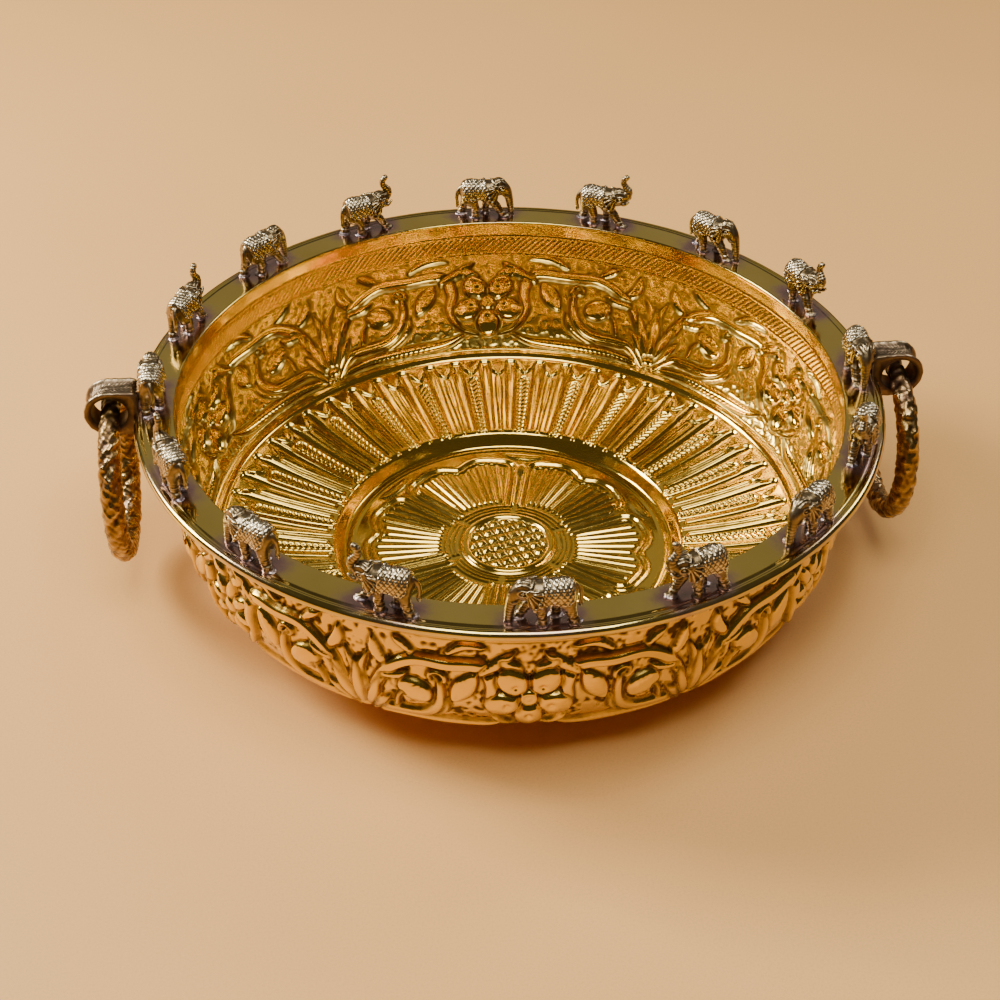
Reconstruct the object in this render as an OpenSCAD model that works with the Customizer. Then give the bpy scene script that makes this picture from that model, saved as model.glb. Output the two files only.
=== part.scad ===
// Round beaten-brass urli bowl with a flat brim, a ring of small cast
// elephants soldered to the brim, and two drop-ring handles in strap lugs.
// Origin: centre of the flat base, on the surface the bowl stands on. +Z up,
// the two handles lie on the X axis. Millimetres.

/* [Bowl] */
// Outside diameter over the brim
bowl_d = 356; // [300:2:400]
// Height from the standing surface to the top of the brim
bowl_h = 99; // [90:1:120]
// Thickness of the beaten sheet
sheet_t = 1.6; // [1.2:0.1:2.5]
// Inside radius of the upright wall, as a fraction of the outside radius
wall_frac = 0.893; // [0.87:0.001:0.9]
// Radius of the raised line where wall turns into floor
ridge_r = 146.5; // [140:0.5:150]
// Height of that line above the standing surface
ridge_z = 21.5; // [18:0.5:26]
// Radius of the sunk centre disc
disc_r = 83; // [75:1:90]
// Depth of the sunk centre disc below the fluted floor
disc_step = 7.2; // [5:0.1:9]

/* [Brim] */
// Thickness of the flat brim
brim_t = 1.8; // [1.4:0.1:3]
// Radius of the rounded outer edge of the brim
bead_r = 2.4; // [1.8:0.1:3]

/* [Elephants] */
// Radius of the circle that the elephants stand on
herd_r = 168.4; // [166:0.2:170]
// Turn of the whole circle of elephants about the bowl's axis
herd_turn = -0.9; // [-3:0.1:3]
// Size factor of each elephant
elephant_scale = 1; // [0.9:0.01:1.1]

/* [Handles] */
// Distance from the bowl's axis to the middle of each lug's loop
lug_x = 188.8; // [188.5:0.1:190]
// Height of the loop's middle above the top of the brim
lug_dz = -0.5; // [-2:0.1:0]
// Width of the strap that the lug is bent from
lug_w = 14; // [10:0.5:16]
// Inside radius of the lug's loop
lug_bore_r = 8.5; // [8.2:0.1:9]
// Thickness of the strap
lug_t = 2.3; // [1.5:0.1:3]
// Outside diameter of each ring handle
ring_d = 86; // [80:1:90]
// Thickness of the ring handle's bar
ring_bar_d = 11; // [9:0.2:11.4]
// How far the ring hangs below the middle of the loop
ring_drop = 1.2; // [0.8:0.1:1.4]

/* [Hidden] */
$fn = 96;

bowl_r = bowl_d / 2;
wall_r = bowl_r * wall_frac;               // inside of the upright wall
rad_in = 41;                               // radius of the shoulder, inside
// height at which the wall starts to curve in, so that the shoulder's arc
// ends on the ridge line
drop_x = wall_r - ridge_r;
turn_z = ridge_z + sqrt(rad_in * rad_in - (rad_in - drop_x) * (rad_in - drop_x));
turn_a = acos((rad_in - drop_x) / rad_in);
step_r = disc_r + 5;                       // outer edge of the sunk disc
step_z = sheet_t + disc_step;
lug_z = bowl_h + lug_dz;
ring_z = lug_z - ring_drop;
ring_mr = (ring_d - ring_bar_d) / 2;       // mean radius of the ring handle

// points on an arc in the bowl's section
function arc_pts(cx, cz, r, a0, a1, n) =
    [for (i = [0 : n]) let (a = a0 + (a1 - a0) * i / n)
        [cx + r * cos(a), cz + r * sin(a)]];

// sagging line between two points of the section
function sag_pts(p, q, s, n) =
    [for (i = [1 : n]) let (t = i / n)
        [p[0] + (q[0] - p[0]) * t,
         p[1] + (q[1] - p[1]) * t - 4 * s * t * (1 - t)]];

// inside of the sheet, from the top of the wall to the middle of the floor
function inside_line() = concat(
    [[wall_r, bowl_h - brim_t]],
    arc_pts(wall_r - rad_in, turn_z, rad_in, 0, -turn_a, 10),
    sag_pts([ridge_r, ridge_z], [step_r, step_z], 1.2, 5),
    [[disc_r, sheet_t], [0, sheet_t]]);

// outside of the sheet, the same way
function outside_line() = concat(
    [[wall_r + sheet_t, bowl_h - brim_t]],
    arc_pts(wall_r - rad_in, turn_z, rad_in + sheet_t, 0, -turn_a, 10),
    sag_pts([ridge_r + 0.4, ridge_z - sheet_t], [step_r + 1.4, step_z - sheet_t], 1.2, 5),
    [[disc_r + 1.2, 0], [0, 0]]);

function reversed(v) = [for (i = [len(v) - 1 : -1 : 0]) v[i]];

module bowl_shell() {
    color([0.86, 0.64, 0.22])
    rotate_extrude($fn = 144)
        polygon(concat(inside_line(), reversed(outside_line())));
}

module brim_ring() {
    color([0.82, 0.66, 0.28])
    rotate_extrude($fn = 144)
        union() {
            translate([wall_r, bowl_h - brim_t])
                square([bowl_r - bead_r - wall_r, brim_t]);
            translate([bowl_r - bead_r, bowl_h - bead_r]) circle(r = bead_r, $fn = 32);
        }
}

// ---- elephants -------------------------------------------------------
// An elephant walks along +X with its feet on z = 0.
module ball(p, r) { translate(p) sphere(r = r, $fn = 8); }
module limb(a, ra, b, rb) { hull() { ball(a, ra); ball(b, rb); } }
module leg(top, rt, foot, rf) {
    hull() {
        ball(top, rt);
        translate(foot) cylinder(r = rf, h = 1.2, $fn = 8);
    }
}
module ear(side) {
    hull() for (p = [[7.4, 15.8], [3.2, 17.6], [2.6, 12.5], [5.4, 9.2]])
        translate([p[0], side * (4.6 + (7.4 - p[0]) * 0.22), p[1]])
            sphere(r = 0.8, $fn = 6);
}

module elephant(trunk_up) {
    color([0.55, 0.46, 0.30])
    scale(elephant_scale)
    union() {
        // trunk of the body, rump to shoulders
        hull() {
            translate([-8.2, 0, 14.2]) scale([1, 0.9, 1.08]) sphere(r = 5.4, $fn = 10);
            translate([1.4, 0, 14.0]) scale([1, 0.9, 1]) sphere(r = 5.4, $fn = 10);
        }
        // neck and head
        hull() {
            ball([2.5, 0, 14.6], 4.6);
            ball([8.4, 0, trunk_up ? 16.2 : 16.6], 4.4);
        }
        for (s = [-1, 1]) ear(s);
        // legs in mid stride
        leg([-9.4, 2.6, 11], 3, [-12.2, 2.9, 0], 2.1);
        leg([-7.0, -2.6, 11], 3, [-4.8, -2.9, 0], 2.1);
        leg([1.2, 2.4, 11], 2.8, [0.6, 2.8, 0], 2.0);
        leg([3.2, -2.4, 10], 2.6, [10.6, -2.6, 0], 2.0);
        // tail
        limb([-12.4, 0, 16.4], 1.0, [-14.6, 0, 8.2], 1.0);
        if (trunk_up) {
            limb([9.6, 0, 17.0], 3.2, [13.0, 0, 20.2], 1.7);
            limb([13.0, 0, 20.2], 1.7, [10.2, 0, 24.6], 1.5);
            limb([10.2, 0, 24.6], 1.5, [11.6, 0, 28.4], 1.5);
            for (s = [-1, 1]) limb([9.6, s * 2.2, 13.4], 1.3, [14.2, s * 2.6, 15.2], 0.8);
        } else {
            limb([10.2, 0, 15.8], 3.0, [13.6, 0, 9.2], 1.9);
            leg([13.6, 0, 9.2], 1.9, [14.6, 0, 0], 1.3);
        }
    }
}

// Elephant number k counts clockwise from the far side, seen from above,
// and each one walks clockwise.
module herd_place(k) {
    a = 90 + herd_turn - 22.5 * (k - 1);
    translate([herd_r * cos(a), herd_r * sin(a), bowl_h]) rotate([0, 0, a - 90])
        elephant(trunk_up = k % 2 == 0);
}

// ---- handles ---------------------------------------------------------
// Strap lug bent into a closed D loop, its flat back brazed to the brim's
// edge. Drawn on the +X side.
module lug() {
    color([0.50, 0.40, 0.26])
    difference() {
        union() {
            translate([lug_x, 0, lug_z]) rotate([90, 0, 0])
                cylinder(r = lug_bore_r + lug_t, h = lug_w, center = true);
            translate([bowl_r - 1, -lug_w / 2, lug_z - lug_bore_r - lug_t])
                cube([lug_x - bowl_r + 1, lug_w, 2 * (lug_bore_r + lug_t)]);
        }
        translate([lug_x, 0, lug_z]) rotate([90, 0, 0])
            cylinder(r = lug_bore_r, h = lug_w + 2, center = true);
    }
}

module ring_handle() {
    color([0.52, 0.38, 0.18])
    translate([lug_x, 0, ring_z - ring_mr]) rotate([0, 90, 0])
        rotate_extrude($fn = 96)
            translate([ring_mr, 0]) circle(d = ring_bar_d, $fn = 48);
}

module lug_right() { lug(); }
module lug_left() { rotate([0, 0, 180]) lug(); }
module ring_right() { ring_handle(); }
module ring_left() { rotate([0, 0, 180]) ring_handle(); }
module elephant_01() { herd_place(1); }
module elephant_02() { herd_place(2); }
module elephant_03() { herd_place(3); }
module elephant_04() { herd_place(4); }
module elephant_05() { herd_place(5); }
module elephant_06() { herd_place(6); }
module elephant_07() { herd_place(7); }
module elephant_08() { herd_place(8); }
module elephant_09() { herd_place(9); }
module elephant_10() { herd_place(10); }
module elephant_11() { herd_place(11); }
module elephant_12() { herd_place(12); }
module elephant_13() { herd_place(13); }
module elephant_14() { herd_place(14); }
module elephant_15() { herd_place(15); }
module elephant_16() { herd_place(16); }

bowl_shell();
brim_ring();
elephant_01();
elephant_02();
elephant_03();
elephant_04();
elephant_05();
elephant_06();
elephant_07();
elephant_08();
elephant_09();
elephant_10();
elephant_11();
elephant_12();
elephant_13();
elephant_14();
elephant_15();
elephant_16();
lug_left();
lug_right();
ring_left();
ring_right();
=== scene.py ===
import bpy
import bmesh
import math
import numpy as np
from mathutils import Matrix, Vector


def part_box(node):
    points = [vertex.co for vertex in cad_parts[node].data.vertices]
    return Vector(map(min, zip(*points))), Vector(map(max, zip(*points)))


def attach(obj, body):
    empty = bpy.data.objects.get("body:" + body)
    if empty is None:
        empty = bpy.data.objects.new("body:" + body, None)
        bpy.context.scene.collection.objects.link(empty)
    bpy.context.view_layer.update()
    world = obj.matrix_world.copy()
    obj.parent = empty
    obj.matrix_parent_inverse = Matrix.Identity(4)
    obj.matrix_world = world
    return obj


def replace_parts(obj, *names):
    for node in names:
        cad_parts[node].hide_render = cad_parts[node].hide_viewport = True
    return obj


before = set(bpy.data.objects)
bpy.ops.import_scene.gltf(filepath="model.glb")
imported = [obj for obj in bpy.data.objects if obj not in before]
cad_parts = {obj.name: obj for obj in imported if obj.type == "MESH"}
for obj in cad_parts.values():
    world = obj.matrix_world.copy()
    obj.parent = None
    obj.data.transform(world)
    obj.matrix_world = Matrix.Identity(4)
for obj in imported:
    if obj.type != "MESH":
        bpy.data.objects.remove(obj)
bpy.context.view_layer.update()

MM = 0.001
TAU = 2 * math.pi
brim_lo, brim_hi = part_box("brim_ring")
RIM_Z = brim_hi.z / MM                      # top of the brim, mm
RIM_R = brim_hi.x / MM                      # outside radius of the brim, mm
WALL_R = RIM_R * 0.893
T = 1.6                                     # sheet thickness
RIDGE_R, RIDGE_Z = 146.5, 21.5
DISC_R, STEP_R, STEP_Z = 83.0, 88.0, 8.8
ROUND = 41.0
BRIM_T = 1.8
BEAD = 2.4
HERD_R, HERD_TURN = 168.4, -0.9
LUG_X, LUG_Z, LUG_W, LUG_BORE, LUG_T = 188.8, RIM_Z - 0.5, 14.0, 8.5, 2.3
RING_R, RING_BAR = 37.5, 5.5
RING_Z = LUG_Z - 1.2


# ----------------------------------------------------------------- helpers
def smooth(a, b, x):
    t = np.clip((x - a) / (b - a), 0.0, 1.0)
    return t * t * (3 - 2 * t)


def pillow(q):
    """1 at q = 0, falls as a half ellipse to 0 at q = 1."""
    return np.sqrt(np.clip(1.0 - q * q, 0.0, 1.0))


def make_mesh(name, verts, faces, mats, body, smooth_shade=True, attrs=None, sharp=None):
    me = bpy.data.meshes.new(name)
    verts = np.asarray(verts, dtype=np.float32)
    faces = np.asarray(faces, dtype=np.int32)
    me.vertices.add(len(verts))
    me.vertices.foreach_set("co", verts.ravel())
    n = faces.shape[1]
    me.loops.add(faces.size)
    me.loops.foreach_set("vertex_index", faces.ravel())
    me.polygons.add(len(faces))
    me.polygons.foreach_set("loop_start", np.arange(0, faces.size, n, dtype=np.int32))
    me.polygons.foreach_set("loop_total", np.full(len(faces), n, dtype=np.int32))
    me.update(calc_edges=True)
    me.validate()
    me.polygons.foreach_set("use_smooth", np.full(len(me.polygons), smooth_shade, dtype=bool))
    for key, val in (attrs or {}).items():
        at = me.attributes.new(key, "FLOAT", "POINT")
        at.data.foreach_set("value", np.asarray(val, dtype=np.float32))
    if sharp is not None:
        mask = np.zeros(len(verts), bool)
        mask[sharp] = True
        ev = np.zeros(len(me.edges) * 2, np.int32)
        me.edges.foreach_get("vertices", ev)
        ev = ev.reshape(-1, 2)
        es = mask[ev[:, 0]] & mask[ev[:, 1]]
        at = me.attributes.get("sharp_edge") or me.attributes.new("sharp_edge", "BOOLEAN", "EDGE")
        at.data.foreach_set("value", es)
    me.update()
    ob = bpy.data.objects.new(name, me)
    bpy.context.scene.collection.objects.link(ob)
    for m in (mats if isinstance(mats, (list, tuple)) else [mats]):
        me.materials.append(m)
    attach(ob, body)
    return ob


def grid_faces(nu, nv, wrap_v=False, flip=False):
    """Quads of a grid with nu columns that close round and nv rows."""
    rows = nv if wrap_v else nv - 1
    i = np.arange(rows)[:, None]
    j = np.arange(nu)[None, :]
    a = (i * nu + j)
    b = (i * nu + (j + 1) % nu)
    c = (((i + 1) % nv) * nu + (j + 1) % nu)
    d = (((i + 1) % nv) * nu + j)
    q = np.stack([a, b, c, d], -1).reshape(-1, 4)
    return q[:, ::-1] if flip else q


def blur(a, sig, wrap_x=True):
    """Gaussian blur with numpy's FFT, sig in cells."""
    pad = int(sig * 4) + 1
    b = np.pad(a, ((pad, pad), (0, 0)), mode="edge")
    fy = np.fft.fftfreq(b.shape[0])[:, None]
    fx = np.fft.fftfreq(b.shape[1])[None, :]
    g = np.exp(-2 * (math.pi * sig) ** 2 * (fx * fx + fy * fy))
    return np.fft.ifft2(np.fft.fft2(b) * g).real[pad:-pad]


# ------------------------------------------------------------ bowl's section
def section():
    """Inside line of the sheet, as v (distance from the top), r and z, and its outward normal."""
    turn_z = RIDGE_Z + math.sqrt(ROUND ** 2 - (ROUND - (WALL_R - RIDGE_R)) ** 2)
    turn_a = math.acos((ROUND - (WALL_R - RIDGE_R)) / ROUND)
    pts = [(WALL_R, z) for z in np.linspace(RIM_Z - BRIM_T, turn_z, 60)]
    pts += [(WALL_R - ROUND + ROUND * math.cos(a), turn_z - ROUND * math.sin(a))
            for a in np.linspace(0, turn_a, 60)[1:]]
    for t in np.linspace(0, 1, 80)[1:]:
        pts.append((RIDGE_R + (STEP_R - RIDGE_R) * t,
                    RIDGE_Z + (STEP_Z - RIDGE_Z) * t - 4.8 * t * (1 - t)))
    pts += [(STEP_R + (DISC_R - STEP_R) * t, STEP_Z + (T - STEP_Z) * t) for t in np.linspace(0, 1, 20)[1:]]
    pts += [(DISC_R * (1 - t), T) for t in np.linspace(0, 1, 100)[1:]]
    p = np.array(pts)
    s = np.concatenate([[0], np.cumsum(np.hypot(*np.diff(p, axis=0).T))])
    v = np.arange(0, s[-1], 0.1)
    r = np.interp(v, s, p[:, 0])
    z = np.interp(v, s, p[:, 1])
    k = np.exp(-0.5 * (np.arange(-40, 41) / 10.0) ** 2)
    k /= k.sum()
    pr = np.concatenate([np.full(40, r[0]), r, -r[-2:-42:-1]])
    pz = np.concatenate([z[0] + 0.1 * np.arange(40, 0, -1), z, np.full(40, z[-1])])
    r2 = np.convolve(pr, k, "valid")
    z2 = np.convolve(pz, k, "valid")
    tr, tz = np.gradient(r2, v), np.gradient(z2, v)
    ln = np.hypot(tr, tz)
    nr, nz = -tz / ln, tr / ln
    kn = np.exp(-0.5 * (np.arange(-20, 21) / 8.0) ** 2)
    kn /= kn.sum()
    nr = np.convolve(np.pad(nr, 20, mode="edge"), kn, "valid")
    nz = np.convolve(np.pad(nz, 20, mode="edge"), kn, "valid")
    return v, r2, np.maximum(z2, T), nr, nz, s


SV, SR, SZ, SNR, SNZ, _s = section()
V_RIDGE = float(SV[np.argmin(np.abs(SR - RIDGE_R) + (SV < 60) * 99)])
V_STEP = float(SV[np.argmin(np.abs(SR - STEP_R))])
V_DISC = float(SV[np.argmin(np.abs(SR - DISC_R) + (SV < V_STEP) * 99)])
V_END = float(SV[-1])
V_BORD0, V_BORD1 = 7.5, 17.5
V_SC0, V_SC1 = 18.5, V_RIDGE - 3.0
XR = 157.0                                   # radius that turns angle into mm on the wall
XL = TAU * XR


# ------------------------------------------------- chased scroll band (wall)
class Canvas:
    """Height of the relief on the unrolled wall: x along the wall, y down it, mm. + is towards the outside."""

    def __init__(self):
        self.dx = 0.4
        self.nx = int(round(XL / self.dx))
        self.dx = XL / self.nx
        self.y0 = V_SC0 - 2
        self.ny = int((V_SC1 + 2 - self.y0) / 0.4) + 1
        self.dy = 0.4
        rng = np.random.default_rng(7)
        n = blur(rng.standard_normal((self.ny, self.nx)), 1.7)
        n /= n.std()
        self.h = -0.30 * np.clip(n, 0.0, 1.5) + 0.05
        self.ground = np.ones_like(self.h)
        self.line = np.zeros_like(self.h)

    def win(self, cx, cy, rx, ry):
        i0 = int((cx - rx) / self.dx)
        i1 = int((cx + rx) / self.dx) + 1
        j0 = max(0, int((cy - ry - self.y0) / self.dy))
        j1 = min(self.ny, int((cy + ry - self.y0) / self.dy) + 2)
        ii = np.arange(i0, i1)
        jj = np.arange(j0, j1)
        x = (ii * self.dx)[None, :] + 0 * jj[:, None]
        y = (self.y0 + jj * self.dy)[:, None] + 0 * ii[None, :]
        return np.ix_(jj, ii % self.nx), x, y

    def lay(self, idx, q, edge, h, rim=0.55, extra=None, base=0.25, gw=0.72):
        """q < 1 is inside; edge is the distance to the outline in mm."""
        inside = q < 1
        body = base + h * pillow(np.clip(q, 0, 1)) ** 0.85
        if extra is not None:
            body = body + extra
        cur = self.h[idx]
        cur = np.where(inside, body, cur)
        g = np.exp(-(edge / gw) ** 2)
        cur = cur - rim * g
        self.h[idx] = cur
        self.ground[idx] = np.where(inside, 0.0, self.ground[idx])
        ln = self.line[idx]
        ln = np.where(inside, np.minimum(ln, g), ln)
        self.line[idx] = np.maximum(ln, g)

    def stroke(self, pts, w0, w1, h=1.6, wm=None, veins=0.0, pitch=2.2, rim=0.55, groove=0.0, n=36):
        """A stem or leaf along a smooth line through pts; half width w0 -> wm -> w1."""
        p = spline(np.array(pts, float), n)
        t = np.linspace(0, 1, len(p))
        if wm is None:
            w = w0 + (w1 - w0) * t
        else:
            w = np.where(t < 0.5, w0 + (wm - w0) * np.sin(t * math.pi), w1 + (wm - w1) * np.sin(t * math.pi))
        m = w.max() + 2
        c = (p.max(0) + p.min(0)) / 2
        e = (p.max(0) - p.min(0)) / 2 + m
        idx, x, y = self.win(c[0], c[1], e[0], e[1])
        best = np.full(x.shape, 9e9)
        tt = np.zeros(x.shape)
        side = np.zeros(x.shape)
        dist = np.zeros(x.shape)
        for i in range(len(p) - 1):
            a, b = p[i], p[i + 1]
            d = b - a
            L2 = d @ d + 1e-9
            s = np.clip(((x - a[0]) * d[0] + (y - a[1]) * d[1]) / L2, 0, 1)
            ex, ey = x - a[0] - s * d[0], y - a[1] - s * d[1]
            dd = np.hypot(ex, ey)
            ww = w[i] + (w[i + 1] - w[i]) * s
            sc = dd - ww
            k = sc < best
            best = np.where(k, sc, best)
            dist = np.where(k, dd / np.maximum(ww, 0.15), dist)
            tt = np.where(k, t[i] + (t[i + 1] - t[i]) * s, tt)
            side = np.where(k, np.sign(d[0] * ey - d[1] * ex) * dd / np.maximum(ww, 0.15), side)
        ex = None
        Ls = np.hypot(*np.diff(p, axis=0).T).sum()
        if veins:
            ph = tt * Ls / pitch + np.abs(side) * 1.1
            ex = -veins * np.clip(np.cos(TAU * ph), 0, 1) * smooth(0.15, 0.5, np.abs(side)) * smooth(0.98, 0.7, np.abs(side)) * smooth(0.06, 0.2, tt) * smooth(0.97, 0.85, tt)
        if groove:
            gg = -groove * np.exp(-(side * np.interp(tt, t, w) / 0.45) ** 2) * smooth(0.04, 0.2, tt) * smooth(0.95, 0.7, tt)
            ex = gg if ex is None else ex + gg
        self.lay(idx, dist, best, h * 1.0, rim=rim, extra=ex)

    def oval(self, cx, cy, a, b, rot, h=1.8, hatch=0.0, dot=False, ring=False, rim=0.6, tip=0.0):
        m = max(a, b) + 2.5
        idx, x, y = self.win(cx, cy, m, m)
        c, s = math.cos(rot), math.sin(rot)
        u = (x - cx) * c + (y - cy) * s
        v = -(x - cx) * s + (y - cy) * c
        bb = b * (1 - tip * np.clip((u / a), -1, 1) ** 2 * 0.9)
        q = np.sqrt((u / a) ** 2 + (v / np.maximum(bb, 0.3)) ** 2)
        gq = np.sqrt((u / a ** 2) ** 2 + (v / b ** 2) ** 2) + 1e-6
        edge = (q - 1) * q / gq
        ex = np.zeros_like(q)
        if hatch:
            k = smooth(0.72, 0.6, q)
            ex = ex - hatch * np.clip(np.cos(TAU * (u * 0.85 + v * 0.55) / 1.9), -0.2, 1) * k - 0.25 * np.exp(-((q - 0.68) * b / 0.45) ** 2) - 0.45 * np.exp(-(v / 0.4) ** 2) * k
        if dot:
            ex = ex - 1.0 * np.exp(-((u + a * 0.1) ** 2 + v ** 2) / 1.1)
        self.lay(idx, q, edge, h, rim=rim, extra=ex)

    def curl(self, cx, cy, r, a0, turns, w0, w1, h=1.5, mir=1):
        ts = np.linspace(0, 1, 40)
        a = a0 + mir * turns * TAU * ts
        rr = r * (1 - 0.72 * ts)
        pts = np.stack([cx + rr * np.cos(a), cy + rr * np.sin(a)], -1)
        self.stroke(pts, w0, w1, h=h, n=40)

    def flower(self, cx, cy, r, rot):
        """Five rounded petals, each with a struck dot, round a ring with a dot."""
        for k in range(5):
            a = rot + TAU * k / 5
            px, py = cx + r * 0.62 * math.cos(a), cy + r * 0.62 * math.sin(a)
            self.oval(px, py, r * 0.46, r * 0.37, a, h=2.3, rim=0.7)
        for k in range(5):
            a = rot + TAU * k / 5
            px, py = cx + r * 0.52 * math.cos(a), cy + r * 0.52 * math.sin(a)
            idx, x, y = self.win(px, py, 4, 4)
            self.h[idx] -= 1.2 * np.exp(-((x - px) ** 2 + (y - py) ** 2) / 1.5)
            # short chased rays towards the petal's tip
            for s in (-0.34, -0.12, 0.12, 0.34):
                qx, qy = cx + r * 0.84 * math.cos(a + s * 0.62), cy + r * 0.84 * math.sin(a + s * 0.62)
                idx, x, y = self.win(qx, qy, 3, 3)
                u = (x - qx) * math.cos(a + s) + (y - qy) * math.sin(a + s)
                v = -(x - qx) * math.sin(a + s) + (y - qy) * math.cos(a + s)
                self.h[idx] -= 0.28 * np.exp(-(u / 1.7) ** 2 - (v / 0.42) ** 2)
            b = a + TAU / 10
            self.seam(cx, cy, r * 0.24, r * 0.66, b)
        self.oval(cx, cy, r * 0.245, r * 0.245, 0, h=0.6, rim=0.9)
        idx, x, y = self.win(cx, cy, 8, 8)
        d = np.hypot(x - cx, y - cy)
        self.h[idx] += 0.9 * np.exp(-((d - r * 0.165) / 0.7) ** 2) + 1.0 * np.exp(-(d / 0.9) ** 2)

    def seam(self, cx, cy, r0, r1, a):
        idx, x, y = self.win(cx, cy, r1 + 2, r1 + 2)
        u = (x - cx) * math.cos(a) + (y - cy) * math.sin(a)
        v = -(x - cx) * math.sin(a) + (y - cy) * math.cos(a)
        m = smooth(r0 - 1, r0 + 0.5, u) * smooth(r1 + 1.5, r1 - 1, u)
        self.h[idx] -= 1.1 * np.exp(-(v / 0.55) ** 2) * m

    def sample(self, x, y):
        fx = (x / self.dx) % self.nx
        fy = np.clip((y - self.y0) / self.dy, 0, self.ny - 1.001)
        i, j = np.floor(fx).astype(int) % self.nx, np.floor(fy).astype(int)
        a, b = fx - np.floor(fx), fy - j
        i2 = (i + 1) % self.nx
        f = lambda g: (g[j, i] * (1 - a) * (1 - b) + g[j, i2] * a * (1 - b) + g[j + 1, i] * (1 - a) * b + g[j + 1, i2] * a * b)
        return f(self.h), f(self.ground), f(self.line)


def spline(p, n):
    """Smooth line through p (Catmull-Rom)."""
    q = np.vstack([2 * p[0] - p[1], p, 2 * p[-1] - p[-2]])
    out = []
    m = len(p) - 1
    per = max(2, int(math.ceil(n / m)))
    for i in range(m):
        a, b, c, d = q[i], q[i + 1], q[i + 2], q[i + 3]
        for t in np.linspace(0, 1, per, endpoint=False):
            out.append(0.5 * ((2 * b) + (c - a) * t + (2 * a - 5 * b + 4 * c - d) * t * t + (-a + 3 * b - 3 * c + d) * t ** 3))
    out.append(p[-1])
    return np.array(out)


def scroll_half(cv, x0, d, s):
    """Half a scroll, from its root at x0 on the lower line towards the flower at x0 + 96*s*d."""
    yb = V_SC1 - 0.5
    P = lambda x, y: (x0 + d * x * s, yb - y)
    L = lambda pts: [P(*p) for p in pts]
    # small leaves behind the stems
    cv.stroke(L([(2, 1), (5, 14), (1, 28), (7, 42)]), 0.8, 0.5, h=1.3, wm=3.4, veins=0.4)
    cv.stroke(L([(20, 36), (12, 44), (10, 53)]), 1.4, 0.4, h=1.3, wm=3.4, veins=0.4)
    cv.stroke(L([(34, 47), (27, 52), (22, 55)]), 1.4, 0.4, h=1.2, wm=2.6, veins=0.35)
    cv.stroke(L([(52, 50), (62, 55), (74, 54)]), 1.4, 0.4, h=1.2, wm=2.8, veins=0.3)
    # almond leaf beside the flower
    cv.oval(*P(61, 31), 10.5, 5.4, d * -1.05, h=1.9, hatch=0.3, tip=0.5)
    # lower fronds under the almond
    cv.stroke(L([(34, 5), (48, 14), (52, 22)]), 1.6, 0.5, h=1.3, wm=3.0, veins=0.35)
    cv.stroke(L([(2, 1), (24, 3), (46, 3), (70, 4), (84, 9)]), 1.8, 0.6, h=1.5, wm=3.0, veins=0.35, pitch=2.6)
    # bud filling the middle of the scroll
    cv.oval(*P(34, 26), 8.6, 6.4, d * 0.5, h=2.0, hatch=0.34)
    cv.stroke(L([(22, 12), (24, 20), (27, 24)]), 1.6, 1.0, h=1.3)
    # main stem: up from the root, over the bud, round the almond to the flower's foot
    cv.stroke(L([(0, 0), (7, 16), (17, 34), (33, 44), (52, 44), (70, 44), (76, 34), (75, 22), (80, 12), (90, 8)]), 2.2, 0.7, h=2.1, wm=3.5, groove=0.5, n=70)
    # second stem, inside the first
    cv.stroke(L([(3, 0), (13, 9), (22, 10), (38, 11), (47, 19), (48, 32), (42, 39)]), 1.8, 0.6, h=1.8, wm=2.9, groove=0.45, n=56)
    cv.curl(*P(45, 35.5), 4.6, math.pi * (0.1 if d > 0 else 0.9), 0.85, 1.6, 0.9, h=1.5, mir=-d)
    # leaf tips that lap the main stem
    cv.stroke(L([(17, 32), (24, 33), (30, 36)]), 2.0, 0.5, h=1.4, wm=2.4, veins=0.3)
    cv.stroke(L([(70, 40), (80, 46), (88, 52)]), 1.6, 0.5, h=1.4, wm=3.2, veins=0.35)
    cv.oval(*P(87, 44), 6.2, 3.4, d * 0.6, h=1.5, hatch=0.25, tip=0.4)


def chase_wall():
    cv = Canvas()
    flowers = [88.6, 18.7, -92.6, 158.8]
    ym = (V_SC0 + V_SC1) / 2 + 2.0
    # the scrolls between neighbouring flowers; a wide gap holds two
    spans = [(18.7, 88.6), (88.6, 158.8), (158.8, 213.1), (213.1, 267.4), (267.4, 323.0), (323.0, 378.7)]
    for a, b in spans:
        xa, xb = math.radians(a) * XR, math.radians(b) * XR
        xm = (xa + xb) / 2
        s = (xb - xa) / 2 / 96.0
        scroll_half(cv, xm, 1, s)
        scroll_half(cv, xm, -1, s)
        # palmette over the root
        yb = V_SC1 - 0.5
        for k, (ang, ln) in enumerate([(-0.75, 22), (0.75, 22), (-0.38, 29), (0.38, 29), (0.0, 34)]):
            tip = (xm + ln * math.sin(ang), yb - 3 - ln * math.cos(ang))
            mid = (xm + 0.45 * ln * math.sin(ang * 1.35), yb - 3 - 0.5 * ln * math.cos(ang))
            cv.stroke([(xm, yb - 1), mid, tip], 1.2, 0.4, h=1.6, wm=2.9, groove=0.4)
        cv.oval(xm, yb - 4, 4.0, 3.0, 0, h=1.4)
    for a in flowers:
        cv.flower(math.radians(a) * XR, ym, 18.5, -math.pi / 2 + 0.63)
    # the two wide gaps carry a round leaf rosette
    for a in (213.1, 323.0):
        x = math.radians(a) * XR
        for k in range(8):
            t = TAU * k / 8 + 0.2
            cv.oval(x + 9 * math.cos(t), ym + 9 * math.sin(t), 7.4, 3.6, t, h=1.8, hatch=0.28, tip=0.4)
        cv.oval(x, ym, 4.6, 4.6, 0, h=1.4, rim=0.8)
    # the hammer rounds everything a little
    cv.h = blur(cv.h, 1.15) * 1.3
    cv.line = np.clip(blur(cv.line, 0.8) * 1.45, 0, 1)
    return cv


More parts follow.
